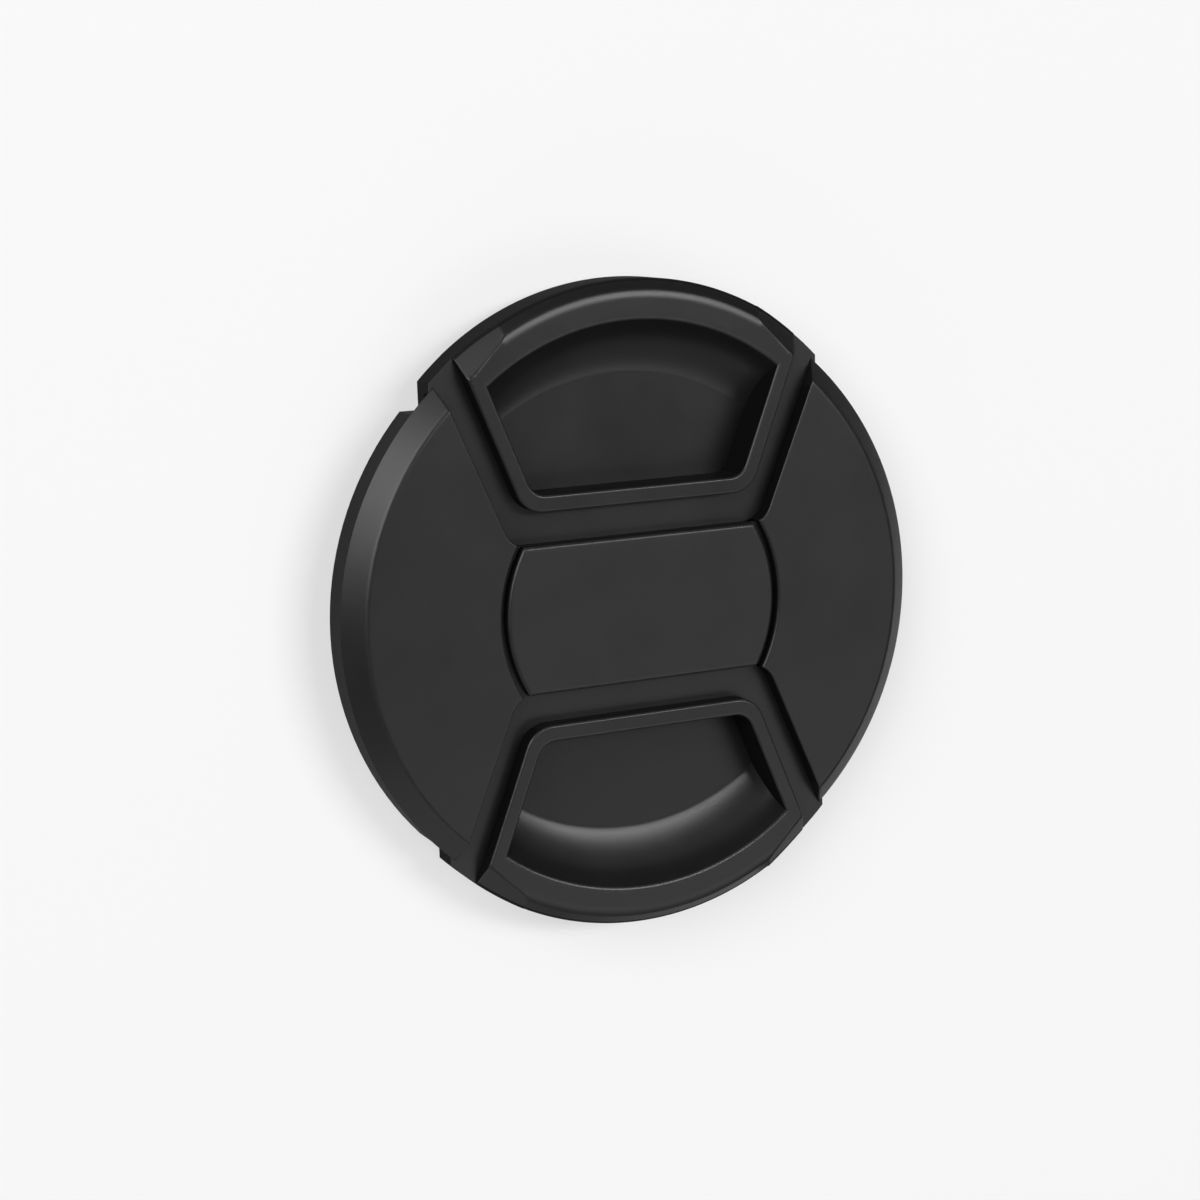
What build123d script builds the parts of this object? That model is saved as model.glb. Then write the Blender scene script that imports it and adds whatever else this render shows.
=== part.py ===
import os
from math import cos, radians, sin, sqrt

from build123d import *

os.makedirs("parts", exist_ok=True)

# Heights: the cap lies on its back, rear edge at zero, face upwards
overall_height = 7.4
rim_height = 4.8
plate_thickness = 1.7

# Round front
cap_radius = 30.0
edge_inset = 2.05
skirt_thickness = 1.1

# Rear collar that enters the lens, and the web that seats on the lens rim
seat_width = 1.7
collar_thickness = 1.2
collar_setback = 4.75
web_thickness = 1.0

# Windows between the wings, one for each latch
bridge_half_width = 7.13
wing_edge_x = 16.64
wing_edge_slope = 0.42
window_corner = 2.4
window_edge = 0.18

# Widths of the tapered outlines are given at this distance from the centre
taper_station = 15.0

# Centre plate, glued into a recess of the bridge with a groove round its arcs
badge_radius = 14.1
badge_groove = 0.6
badge_thickness = 0.95
badge_edge = 0.25

# Latch outline: an arc that stands out past the wings, with an ear at each end
latch_reach = 1.5
latch_offset = 3.2
latch_inset = 9.7
latch_travel = 2.8
ear_length = 2.67
flange_thickness = 1.2
flange_clearance = 0.1
flange_inner_y = 6.4
neck_inset = 2.6
rim_width = 4.8

# Raised lip round the finger pocket
lip_outer_x = 13.84
lip_slope = 0.396
lip_inner_y = 10.23
lip_width = 1.62
lip_corner = 3.0
lip_edge = 0.22

# Finger pocket: a flat floor up to a crease, then a hollow ramp up to the rim
pocket_depth = 4.0
pocket_corner = 1.9
pocket_rim_inset = 3.9
ramp_length = 4.8
crease_radius = 31.0
ramp_start = 0.32
ramp_bend = 0.58
ramp_bands = 5
bowl_wall = 1.1
bowl_floor = 0.8

# Front edge of the latch: rounded in the middle, a flat facet at each end
thumb_edge_radius = 1.9
thumb_half_width = 13.4
thumb_bands = 4
facet_start = 0.1
facet_inset = 5.0
facet_turn = 44.6
facet_slope = 39.0

# Jaw that grips the filter thread
jaw_bite = 0.6
jaw_shift = 0.6
jaw_wall = 1.8
jaw_half_angle = 27.0
jaw_lift = 0.2
thread_pitch = 0.75
thread_depth = 0.46
thread_ridges = 3

# Springs between the fixed rib and the latches
spring_inset = 2.3
spring_radius = 1.3
spring_wire = 0.36
spring_turns = 2.5
spring_gap = 8.0
spring_end_gap = 0.05
spigot_width = 0.9
spigot_length = 1.3
tab_width = 3.2
tab_thickness = 1.3
rib_half_width = 1.2
rib_end = 0.3

# Guides on the shell for the latch ends
guide_clearance = 0.3
guide_thickness = 1.2
guide_start = 8.0
guide_depth = 2.1

# Back plate, its posts and its rails
cover_thickness = 1.2
cover_gap = 0.3
collar_gap = 0.3
cover_edge = 0.3
notch_half_width = 14.6
notch_gap = 0.4
rail_width = 1.2
rail_gap = 0.12
post_inset = 3.7
post_y = 5.0
post_width = 2.4
post_length = 3.6
stake_inset = 0.5
stake_clearance = 0.06
stake_head_height = 0.45

# Levels and places that follow from the sizes above
front_z = overall_height
seat_z = front_z - rim_height
plate_z = front_z - plate_thickness
flange_top = plate_z - flange_clearance
flange_z = flange_top - flange_thickness
pocket_z = front_z - pocket_depth
bowl_z = pocket_z - bowl_floor
cover_top = bowl_z - cover_gap
cover_z = cover_top - cover_thickness
spring_z = (cover_top + plate_z) / 2
face_radius = cap_radius - edge_inset
skirt_inner = cap_radius - skirt_thickness
collar_radius = cap_radius - seat_width
collar_inner = collar_radius - collar_thickness
latch_half_width = cap_radius - latch_inset
latch_radius = cap_radius + latch_reach - latch_offset
latch_corner_y = latch_offset + sqrt(latch_radius**2 - latch_half_width**2)
rim_inner_radius = latch_radius - rim_width
pocket_rim_radius = latch_radius - pocket_rim_inset
crease_y = latch_offset + pocket_rim_radius - ramp_length
skirt_half_length = latch_corner_y - ear_length
collar_half_length = skirt_half_length - collar_setback
spring_x = latch_half_width - spring_inset
post_x = collar_inner - post_inset
tab_y = rib_half_width + spring_gap
far = 2 * cap_radius


def bar(width, length, low, high):
    return Pos(0, 0, low) * Box(width, length, high - low, align=(Align.CENTER, Align.CENTER, Align.MIN))


def block(x0, x1, y0, y1, low, high):
    return Pos((x0 + x1) / 2, (y0 + y1) / 2) * bar(x1 - x0, y1 - y0, low, high)


def disc(radius, low, high):
    return Pos(0, 0, low) * Cylinder(radius, high - low, align=(Align.CENTER, Align.CENTER, Align.MIN))


def ring(outer, inner, low, high):
    return disc(outer, low, high) - disc(inner, low, high)


def taper(x_at_station, slope, y0, y1):
    x0 = x_at_station + slope * (y0 - taper_station)
    x1 = x_at_station + slope * (y1 - taper_station)
    return make_face(Polyline((-x0, y0), (x0, y0), (x1, y1), (-x1, y1), close=True))


def rounded_start(face, radius):
    return fillet(face.vertices().sort_by(Axis.Y)[:2], radius)


def both_sides(shape):
    return shape + mirror(shape, about=Plane.YZ)


def all_round(shape):
    return both_sides(shape) + mirror(both_sides(shape), about=Plane.XZ)


def turned(shape):
    return Rot(0, 0, 180) * shape


# Front shell: face with a sloped edge, skirt behind the wings
edge_profile = Polyline((0, plate_z), (cap_radius, plate_z), (face_radius, front_z), (0, front_z), close=True)
shell = revolve(make_face(Plane.XZ * edge_profile), axis=Axis.Z)
skirt = ring(cap_radius, skirt_inner, seat_z, plate_z)
shell += skirt & bar(far, 2 * skirt_half_length, seat_z, plate_z)

window = rounded_start(taper(wing_edge_x, wing_edge_slope, bridge_half_width, far), window_corner)
window_cut = extrude(Pos(0, 0, plate_z) * window, plate_thickness)
shell -= window_cut
shell -= turned(window_cut)
face_edges = shell.edges().group_by(Axis.Z)[-1]
shell = chamfer(face_edges.filter_by(lambda edge: abs(edge.center().Y) > bridge_half_width), window_edge)

recess_radius = badge_radius + badge_groove
shell -= disc(recess_radius, front_z - badge_thickness, front_z) & bar(far, 2 * bridge_half_width, 0, front_z)

# Collar and seat
collar = ring(collar_radius, collar_inner, 0, seat_z + web_thickness)
web = ring(cap_radius, collar_inner, seat_z, seat_z + web_thickness)
shell += (collar + web) & bar(far, 2 * collar_half_length, 0, seat_z + web_thickness)

# Rib that the springs start from, guides for the latch ends, posts staked over the back plate
spigot = bar(spigot_width, spigot_width, 0, spigot_length)
rib = bar(2 * (latch_half_width - rib_end), 2 * rib_half_width, bowl_z, plate_z)
shell += rib + all_round(Pos(spring_x, rib_half_width, spring_z) * Rot(-90, 0, 0) * spigot)

guide_x = latch_half_width + guide_clearance
guide_z = plate_z - guide_depth
guide = block(guide_x, guide_x + guide_thickness, guide_start, skirt_half_length, guide_z, plate_z)
shell += all_round(guide & disc(cap_radius, 0, front_z))

stake_width = post_width - 2 * stake_inset
stake_length = post_length - 2 * stake_inset
post = bar(post_width, post_length, cover_top, plate_z)
post += bar(stake_width, stake_length, cover_z, cover_top)
post += bar(post_width, post_length, cover_z - stake_head_height, cover_z)
shell += all_round(Pos(post_x, post_y) * post)

# Centre plate
badge = disc(badge_radius, front_z - badge_thickness, front_z) & bar(far, 2 * bridge_half_width, 0, front_z)
badge = chamfer(badge.faces().sort_by(Axis.Z)[-1].edges(), badge_edge)

# Latch: flange that runs under the wings, and the outer rim with its ears
latch_disc = Pos(0, latch_offset) * disc(latch_radius, 0, front_z)
neck_x = spring_x - neck_inset
latch = block(-neck_x, neck_x, flange_inner_y, far, flange_z, flange_top)
latch += block(-latch_half_width, latch_half_width, tab_y, far, flange_z, flange_top)
rim = Pos(0, latch_offset) * ring(latch_radius, rim_inner_radius, seat_z, flange_top)
latch += rim & block(-latch_half_width, latch_half_width, latch_offset, far, seat_z, flange_top)

# Raised lip and the bowl of the finger pocket
lip_outline = rounded_start(taper(lip_outer_x, lip_slope, lip_inner_y, far), lip_corner)
latch += extrude(Pos(0, 0, flange_z) * lip_outline, front_z - flange_z)
latch &= latch_disc
mouth_x = lip_outer_x - lip_width
mouth_y = lip_inner_y + lip_width
bowl_outline = taper(mouth_x + bowl_wall, lip_slope, mouth_y - bowl_wall, far)
bowl_outline = rounded_start(bowl_outline, pocket_corner + bowl_wall)
bowl = extrude(Pos(0, 0, bowl_z) * bowl_outline, flange_top - bowl_z)
latch += bowl & Pos(0, latch_offset) * disc(rim_inner_radius + bowl_wall, bowl_z, flange_top)


# Outline of the pocket's outer end, from the crease at step 0 to the rim at step 1
def ramp_level(step):
    rise = step * (ramp_start + step * (1 - ramp_start - ramp_bend + ramp_bend * step))
    middle_y = crease_y + step * (latch_offset + pocket_rim_radius - crease_y)
    arc_radius = crease_radius + step * (pocket_rim_radius - crease_radius)
    return Pos(0, middle_y - arc_radius, pocket_z + rise * pocket_depth) * Circle(arc_radius)


scoop = loft([ramp_level(1.1 * band / ramp_bands) for band in range(ramp_bands + 1)], ruled=True)
mouth = rounded_start(taper(mouth_x, lip_slope, mouth_y, far), pocket_corner)
latch -= extrude(Pos(0, 0, pocket_z) * mouth, 2 * pocket_depth) & scoop

# Rounded front edge where the finger pulls
thumb_x = latch_radius - thumb_edge_radius
thumb_z = front_z - thumb_edge_radius
thumb_curve = []
for band in range(thumb_bands + 1):
    turn = radians(90 * band / thumb_bands)
    thumb_curve.append((thumb_x + thumb_edge_radius * sin(turn), thumb_z + thumb_edge_radius * cos(turn)))
thumb_profile = Polyline(*thumb_curve, (far, thumb_z), (far, far), (thumb_x, far), close=True)
thumb_cut = revolve(make_face(Plane.XZ * thumb_profile), axis=Axis.Z)
latch -= Pos(0, latch_offset) * thumb_cut & block(-thumb_half_width, thumb_half_width, 0, far, 0, far)

# Flat facets at the ends of that edge
along_x = cos(radians(facet_turn))
along_y = sin(radians(facet_turn))
facet_side = (along_x, -along_y, 0)
facet_out = sin(radians(facet_slope))
facet_up = (facet_out * along_y, facet_out * along_x, cos(radians(facet_slope)))
facet_point = (thumb_half_width + facet_start, cap_radius + latch_reach - facet_inset, front_z)
facet_plane = Plane(origin=facet_point, x_dir=facet_side, z_dir=facet_up)
facet_cut = facet_plane * bar(far, far, 0, far)
latch -= both_sides(facet_cut & block(thumb_half_width, far, 0, far, flange_top, far))

# Softened edges round the lip and the pocket's mouth
latch_face = latch.faces().filter_by(Plane.XY).sort_by(Axis.Z)[-1]
lip_end = latch_corner_y - lip_width
lip_edges = latch_face.outer_wire().edges().filter_by(lambda edge: edge.center().Y < lip_end)
latch = chamfer(lip_edges + latch_face.inner_wires()[0].edges(), lip_edge)

# Jaw with ridges for the filter thread
jaw_crest_radius = collar_radius + jaw_bite
jaw_root = jaw_crest_radius - thread_depth
jaw_inner = jaw_crest_radius - jaw_wall
jaw_points = [(jaw_inner, seat_z), (jaw_inner, jaw_lift), (jaw_root, jaw_lift)]
for ridge in range(thread_ridges):
    ridge_z = jaw_lift + ridge * thread_pitch
    jaw_points += [(jaw_crest_radius, ridge_z + thread_pitch / 2), (jaw_root, ridge_z + thread_pitch)]
jaw_points += [(jaw_root, seat_z)]
jaw_face = Plane.XZ * make_face(Polyline(*jaw_points, close=True))
jaw = revolve(Rot(0, 0, 90 - jaw_half_angle) * jaw_face, axis=Axis.Z, revolution_arc=2 * jaw_half_angle)
latch += Pos(0, jaw_shift) * jaw

# Tabs that the springs push on
tab = bar(tab_width, tab_thickness, bowl_z, flange_top)
tab = Pos(spring_x, tab_y + tab_thickness / 2) * tab
latch += both_sides(tab + Pos(spring_x, tab_y, spring_z) * Rot(90, 0, 0) * spigot)

# Springs
coil_length = spring_gap - 2 * spring_end_gap - spring_wire
coil = Helix(coil_length / spring_turns, coil_length, spring_radius - spring_wire / 2)
wire_section = Plane(origin=coil @ 0, z_dir=coil % 0) * Rectangle(spring_wire, spring_wire)
spring = sweep(wire_section, path=coil, is_frenet=True)
spring = Pos(spring_x, rib_half_width + spring_end_gap + spring_wire / 2, spring_z) * Rot(-90, 0, 0) * spring

# Back plate inside the collar, cut away for the jaws' travel, with rails under the flanges
cover = disc(collar_inner - collar_gap, cover_z, cover_top)
notch_keep = Pos(0, jaw_shift - latch_travel) * disc(jaw_inner - notch_gap, cover_z, cover_top)
notch = block(-notch_half_width, notch_half_width, latch_offset, far, cover_z, cover_top) - notch_keep
cover -= notch
cover -= turned(notch)
cover = chamfer(cover.faces().sort_by(Axis.Z)[0].edges(), cover_edge)
stake_hole = bar(stake_width + 2 * stake_clearance, stake_length + 2 * stake_clearance, cover_z, cover_top)
cover -= all_round(Pos(post_x, post_y) * stake_hole)
rail_start = tab_y + tab_thickness + rail_gap
rail_side = spring_x + rail_width / 2
rail_end = latch_offset + sqrt(rim_inner_radius**2 - rail_side**2) - latch_travel - guide_clearance
rail = block(rail_side - rail_width, rail_side, rail_start, rail_end, cover_top, flange_z - rail_gap)
cover += all_round(rail)

export_step(shell, "parts/front_shell.step")
export_step(badge, "parts/centre_plate.step")
export_step(latch, "parts/upper_latch.step")
export_step(turned(latch), "parts/lower_latch.step")
export_step(mirror(spring, about=Plane.YZ), "parts/upper_left_spring.step")
export_step(spring, "parts/upper_right_spring.step")
export_step(turned(spring), "parts/lower_left_spring.step")
export_step(turned(mirror(spring, about=Plane.YZ)), "parts/lower_right_spring.step")
export_step(cover, "parts/back_plate.step")
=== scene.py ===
import bmesh
import bpy
import math
import numpy as np
from mathutils import Matrix, Vector


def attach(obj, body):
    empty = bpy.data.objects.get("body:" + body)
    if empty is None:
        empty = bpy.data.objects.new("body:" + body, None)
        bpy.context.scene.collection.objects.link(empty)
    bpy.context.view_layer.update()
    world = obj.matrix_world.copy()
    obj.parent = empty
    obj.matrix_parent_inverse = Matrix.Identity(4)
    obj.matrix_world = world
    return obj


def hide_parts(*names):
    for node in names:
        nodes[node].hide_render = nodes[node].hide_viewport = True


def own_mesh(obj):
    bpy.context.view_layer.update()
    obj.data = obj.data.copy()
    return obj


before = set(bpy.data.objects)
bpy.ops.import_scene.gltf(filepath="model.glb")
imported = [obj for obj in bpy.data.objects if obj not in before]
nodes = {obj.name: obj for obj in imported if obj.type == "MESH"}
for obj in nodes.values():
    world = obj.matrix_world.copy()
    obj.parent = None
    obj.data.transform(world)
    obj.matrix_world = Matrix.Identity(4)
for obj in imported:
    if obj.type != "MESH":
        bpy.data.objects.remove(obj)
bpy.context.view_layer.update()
scene = bpy.context.scene
print("frame loaded:", len(nodes), "nodes")

# shapes are worked out in millimetres and degrees
mm = 0.001
sharpFrom = 38.0
flip = np.array([-1, 1])
# finish slots: a piece's own finish, and darker copies that paint shade on recess walls, outer walls and
# pocket floors
finishSlot = {"bySlope": -1, "own": 0, "recess": 1, "skirt": 2, "floor": 3}


# Mesh from points in millimetres; the wear mark, which also carries a painted highlight, lies on the points
# that hands and pockets rub
def makeMesh(name, points, quads, more=(), wearAndHighlight=None):
    mesh = bpy.data.meshes.new(name)
    mesh.from_pydata((points * mm).tolist(), [], quads.tolist() + list(more))
    if wearAndHighlight is not None:
        mark = mesh.attributes.new("wearAndHighlight", "FLOAT", "POINT")
        mark.data.foreach_set("value", wearAndHighlight.astype(np.float32).ravel())
    mesh.shade_smooth()
    mesh.set_sharp_from_angle(angle=math.radians(sharpFrom))
    obj = bpy.data.objects.new(name, mesh)
    scene.collection.objects.link(obj)
    return obj


# Quads between the rows of a (rows, columns) sheet that closes on itself across the columns
def tubeQuads(rows, columns, first=0):
    r, c = np.meshgrid(np.arange(rows - 1), np.arange(columns), indexing="ij")
    a = first + r * columns + c
    b = first + r * columns + (c + 1) % columns
    return np.stack([a, a + columns, b + columns, b], axis=-1).reshape(-1, 4)


# Closed skin from a stack of rings, with a point at each end
def ringSkin(rings, startPoint, endPoint):
    rows, columns, _ = rings.shape
    points = np.vstack([startPoint[None], rings.reshape(-1, 3), endPoint[None]])
    k = np.arange(columns)
    n = (k + 1) % columns
    last = 1 + (rows - 1) * columns
    fans = np.stack([np.zeros_like(k), 1 + k, 1 + n], axis=-1).tolist()
    fans += np.stack([last + n, last + k, np.full_like(k, last + columns)], axis=-1).tolist()
    return points, tubeQuads(rows, columns, 1), fans


# Puts heights on flat rings: one for all, one per row or one per point
def raised(flat, z):
    return np.dstack([flat, np.broadcast_to(z, flat.shape[:2])])


# Smaller of two heights, blended by a parabola where they differ by less than k
def softMin(a, b, k):
    h = np.clip(0.5 + 0.5 * (b - a) / k, 0, 1)
    return b + (a - b) * h - k * h * (1 - h)


latch = {
    "frontZ": 7.4, "floorZ": 3.4, "flangeTop": 5.6, "flangeLow": 4.4, "rearZ": 2.6,
    "offset": 3.2, "radius": 28.295, "halfWidth": 20.3,
    "station": 15.0, "slope": 0.396, "mouthX": 12.22, "mouthY": 11.85, "mouthCorner": 1.9,
    "lipX": 13.84, "lipY": 10.23, "lipCorner": 3.0, "lipRound": 0.26,
    "mouthRound": 0.26, "rimRound": 0.5, "rimLap": 0.05,
    "middleY": 17.0, "creaseY": 22.42, "creaseR": 22.6, "creaseSoft": 0.03, "rimR": 24.4,
    "rampRun": 5.18, "depth": 4.0, "ramp": {1: 0.31, 2: 0.49, 3: -0.22, 6: 0.42},
    "thumbWidth": 1.95, "thumbR": 3.0, "thumbTurn": 15.0, "thumbBend": 0.8, "thumbSlope": 37.0,
    "thumbEdge": 0.2, "thumbX": 13.4, "stepWidth": 0.07, "stepToSide": 0.4, "sideCrowding": 1.5,
    "facetX": 13.5, "facetY": 26.5, "facetTurn": 44.6, "facetSlope": 39.0, "facetSoft": 0.1,
    "flankLap": 0.1, "bowlWall": 1.1, "bowlLap": 0.3, "bowlStep": 0.02, "outerLap": 0.12,
}
# columns of half a pocket ring, and the places of its rows as shares of each stretch: (from, to, count)
ringColumns = {"inner": 24, "corner": 12, "side": 64, "rimEnd": 30, "thumb": 64}
latchRows = {
    "floor": (0.08, 0.98, 14), "crease": (0.008, 0.018, 0.03, 0.043), "ramp": (0.058, 0.965, 34),
    "round": 9, "rim": 9, "roll": (0.0, 0.86, 26), "wall": 9, "under": (0.9, 0.1, 8),
}
# which columns lie on the outer arc
halfArc = np.repeat([False, True], [ringColumns["inner"] + ringColumns["corner"] + ringColumns["side"],
                                    ringColumns["rimEnd"] + ringColumns["thumb"]])
onArc = np.concatenate([halfArc, [True], halfArc[:0:-1]])


# Pocket shaped rings, one per row: straight inner edge, round corner, tapered side, outer arc and back.
# Inputs are values by row. The side is crowded towards the arc, and the arc is split at thumbX, so that
# a column follows the end of the thumb edge.
def pocketRings(sideX, innerY, corner, arcMid, arcR):
    values = (np.atleast_1d(v).astype(float)[:, None] for v in (sideX, innerY, corner, arcMid, arcR))
    sideX, innerY, corner, arcMid, arcR = np.broadcast_arrays(*values)
    s, norm = latch["slope"], math.hypot(1, latch["slope"])
    bend = math.pi / 2 - math.atan(s)
    cornerX = sideX + s * (innerY - latch["station"])
    reach = corner * math.tan(bend / 2)
    centreY = arcMid - arcR
    # where the side line meets the arc: (x0 + s y)^2 + (y - centreY)^2 = arcR^2
    x0 = sideX - s * latch["station"]
    qa = 1 + s * s
    qb = 2 * (x0 * s - centreY)
    qc = x0 * x0 + centreY * centreY - arcR * arcR
    endY = (-qb + np.sqrt(qb * qb - 4 * qa * qc)) / (2 * qa)
    endX = x0 + s * endY
    split = np.minimum(latch["thumbX"], endX - latch["stepToSide"])

    n = ringColumns
    u = np.linspace(0, 1, n["inner"], endpoint=False)[None]
    inner = np.stack([u * (cornerX - reach), innerY + 0 * u], axis=-1)
    turn = -math.pi / 2 + bend * np.linspace(0, 1, n["corner"], endpoint=False)[None]
    cornerArc = np.stack([cornerX - reach + corner * np.cos(turn),
                          innerY + corner + corner * np.sin(turn)], axis=-1)
    u = 1 - (1 - np.linspace(0, 1, n["side"], endpoint=False)[None]) ** latch["sideCrowding"]
    startX, startY = cornerX + reach * s / norm, innerY + reach / norm
    side = np.stack([startX + u * (endX - startX), startY + u * (endY - startY)], axis=-1)
    a0 = np.arctan2(endY - centreY, endX)
    a1 = np.arccos((split + latch["stepWidth"]) / arcR)
    a2 = np.arccos((split - latch["stepWidth"]) / arcR)
    turn = np.hstack([a0 + (a1 - a0) * np.linspace(0, 1, n["rimEnd"])[None],
                      a2 + (math.pi / 2 - a2) * np.linspace(0, 1, n["thumb"], endpoint=False)[None]])
    arc = np.stack([arcR * np.cos(turn), centreY + arcR * np.sin(turn)], axis=-1)
    half = np.concatenate([inner, cornerArc, side, arc], axis=1)
    top = np.stack([0 * arcMid, arcMid], axis=-1)
    return np.concatenate([half, top, half[:, :0:-1] * flip], axis=1)


# Height of the facets at the ends of the rim: a plane through one point, turned and sloped
def facetHeight(x, y):
    turn, slope = math.radians(latch["facetTurn"]), math.radians(latch["facetSlope"])
    run = (np.abs(x) - latch["facetX"]) * math.sin(turn) + (y - latch["facetY"]) * math.cos(turn)
    return latch["frontZ"] - run * math.tan(slope)


# Fall of the thumb edge over a run outwards: a wide arc of radius thumbR up to the angle thumbTurn,
# a tight one of radius thumbBend up to thumbSlope, straight from there, and a small round at the outer wall
def thumbDrop(run):
    g = latch
    gentle, steep = math.radians(g["thumbTurn"]), math.radians(g["thumbSlope"])
    wideRun = g["thumbR"] * math.sin(gentle)
    bendStart, bendEnd = g["thumbBend"] * math.sin(gentle), g["thumbBend"] * math.sin(steep)
    roll = np.minimum(run, wideRun)
    bend = np.clip(run - wideRun + bendStart, bendStart, bendEnd)
    straight = np.clip(run - wideRun + bendStart - bendEnd, 0, None)
    last = np.clip(1 - (g["thumbWidth"] - run) / g["thumbEdge"], 0, 1)
    drop = g["thumbR"] - np.sqrt(g["thumbR"] ** 2 - roll ** 2) + straight * math.tan(steep)
    drop = drop + g["thumbBend"] * math.cos(gentle) - np.sqrt(g["thumbBend"] ** 2 - bend ** 2)
    return drop + g["thumbEdge"] * (1 - np.sqrt(1 - last * last))


# Skin of the finger pocket, lip and rim, row by row from the middle of the pocket floor,
# up the ramp, over the rim, down the outside and back under the bowl
def latchBodyRings():
    g, n = latch, latchRows
    grow = math.hypot(1, g["slope"])
    middle = np.array([0.0, g["middleY"]])
    rows, marks = [], []

    # floor: the pocket outline shrunk towards its middle
    edge = pocketRings(g["mouthX"], g["mouthY"], g["mouthCorner"], g["creaseY"], g["creaseR"])
    shrink = np.append(np.linspace(*n["floor"]), 1.0)[:, None, None]
    flat = middle + shrink * (edge - middle)
    rows.append(raised(flat, g["floorZ"]))
    marks.append(np.zeros(flat.shape[:2]))

    # upright walls, and the ramp: height = floor + depth times the sum of share u^power over its terms;
    # u is t with a slow start over creaseSoft, so the floor bends softly into the ramp
    t = np.concatenate([n["crease"], np.linspace(*n["ramp"])])
    u = (t - g["creaseSoft"] * (1 - np.exp(-t / g["creaseSoft"]))) / (1 - g["creaseSoft"])
    rise = sum(share * u ** power for power, share in g["ramp"].items())
    wall = pocketRings(g["mouthX"], g["mouthY"], g["mouthCorner"], g["creaseY"] + g["rampRun"] * t,
                       g["creaseR"] + (g["rimR"] - g["creaseR"]) * t)
    rows.append(raised(wall, (g["floorZ"] + g["depth"] * rise)[:, None]))
    marks.append(np.zeros(wall.shape[:2]))

    # mouth edge: quarter turn outwards, wider along the rim
    a = np.linspace(0, math.pi / 2, n["round"])
    out = g["mouthRound"] * (1 - np.cos(a))
    wide = g["rimRound"] * (1 - np.cos(a)) - g["rimLap"]
    mouth = pocketRings(g["mouthX"] + out * grow, g["mouthY"] - out, g["mouthCorner"] + out,
                        g["offset"] + g["rimR"] + wide, g["rimR"] + wide)
    rows.append(raised(mouth, (g["frontZ"] - g["mouthRound"] * (1 - np.sin(a)))[:, None]))
    # mark for wear and a painted highlight, growing up the round to the rim
    marks.append(np.broadcast_to(np.sin(a)[:, None], mouth.shape[:2]))

    # lip and rim top, s from the mouth to the outer edge: thumb edge in the middle, facets at the ends
    thumbStart = g["radius"] - g["thumbWidth"]
    rimStart = g["rimR"] + g["rimRound"] - g["rimLap"]
    k = (thumbStart - rimStart) / (g["radius"] - rimStart)
    rolled = n["roll"][1]
    s = np.concatenate([np.linspace(*n["roll"], endpoint=False), rolled + (1 - rolled) * np.sin(a)])
    s = np.concatenate([np.linspace(0, k, n["rim"])[1:-1], k + (1 - k) * s])
    startX, startY = g["mouthX"] + g["mouthRound"] * grow, g["mouthY"] - g["mouthRound"]
    startCorner = g["mouthCorner"] + g["mouthRound"]
    arcR = rimStart + s * (g["radius"] - rimStart)
    top = pocketRings(startX + s * (g["lipX"] - startX), startY + s * (g["lipY"] - startY),
                      startCorner + s * (g["lipCorner"] - startCorner), g["offset"] + arcR, arcR)
    edgeGap = ((1 - s) * (startY - g["lipY"]))[:, None]
    near = np.clip(1 - edgeGap / g["lipRound"], 0, 1)
    lipZ = g["frontZ"] - g["lipRound"] * (1 - np.sqrt(1 - near * near))
    thumbZ = (g["frontZ"] - thumbDrop(np.clip(arcR - thumbStart, 0, g["thumbWidth"])))[:, None]
    x, y = top[..., 0], top[..., 1]
    onThumb = np.abs(x) < g["thumbX"]
    height = np.where(onArc, np.where(onThumb, thumbZ, g["frontZ"]), lipZ)
    height = np.where(onThumb, height, softMin(height, facetHeight(x, y), g["facetSoft"]))
    rows.append(raised(top, height))
    # mark for wear and a painted highlight along the lip's round
    marks.append(np.where(onArc, 0.0, near ** 0.5))

    # flank down into the flange, outer wall down to the rear edge of the rim
    q = np.linspace(0, 1, n["wall"])[1:, None]
    foot = np.where(onArc, g["rearZ"], g["flangeTop"] - g["flankLap"])
    rows.append(raised(np.repeat(top[-1:], len(q), axis=0), height[-1] + q * (foot - height[-1])))

    # back in under the flange, down the bowl, and across its underside
    bowl, outerR = g["bowlWall"], g["radius"] - g["outerLap"]
    under = pocketRings(g["mouthX"] + bowl * grow, g["mouthY"] - bowl, g["mouthCorner"] + bowl,
                        g["offset"] + outerR, outerR)
    rows.append(raised(under, np.where(onArc, g["rearZ"], g["flangeLow"] + g["bowlLap"])))
    rows.append(raised(under + np.array([0, g["bowlStep"]]), g["rearZ"]))
    rows.append(raised(middle + np.linspace(*n["under"])[:, None, None] * (under - middle), g["rearZ"]))

    rings = np.concatenate(rows, axis=0)
    wearAndHighlight = np.zeros(rings.shape[:2])
    marked = np.concatenate(marks, axis=0)
    wearAndHighlight[:len(marked)] = marked
    # the ramp, rim and thumb edge are satin up to the outer round, which takes the darker skirt copy as
    # painted shade;
    # the pocket floor takes the darker floor copy as painted shade, the rest goes by slope
    zone = np.full((len(rings) - 1, len(onArc)), finishSlot["bySlope"])
    zone[:len(marked) - 1, onArc] = finishSlot["own"]
    zone[len(marked) - n["round"]:len(marked) - 1, onArc] = finishSlot["skirt"]
    zone[:len(shrink) - 1] = finishSlot["floor"]
    zone = np.append(zone.ravel(), np.full(len(onArc), finishSlot["floor"]))
    return rings, np.array([*middle, g["floorZ"]]), np.array([*middle, g["rearZ"]]), wearAndHighlight, zone


# Upright block on any outline, with a flat cap at both ends
def prism(outline, low, high, first=0):
    n = len(outline)
    points = np.vstack([np.column_stack([outline, np.full(n, z)]) for z in (low, high)])
    k = np.arange(n)
    m = (k + 1) % n
    caps = [(first + k[::-1]).tolist(), (first + n + k).tolist()]
    return points, first + np.stack([k, m, n + m, n + k], axis=-1), caps


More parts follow.
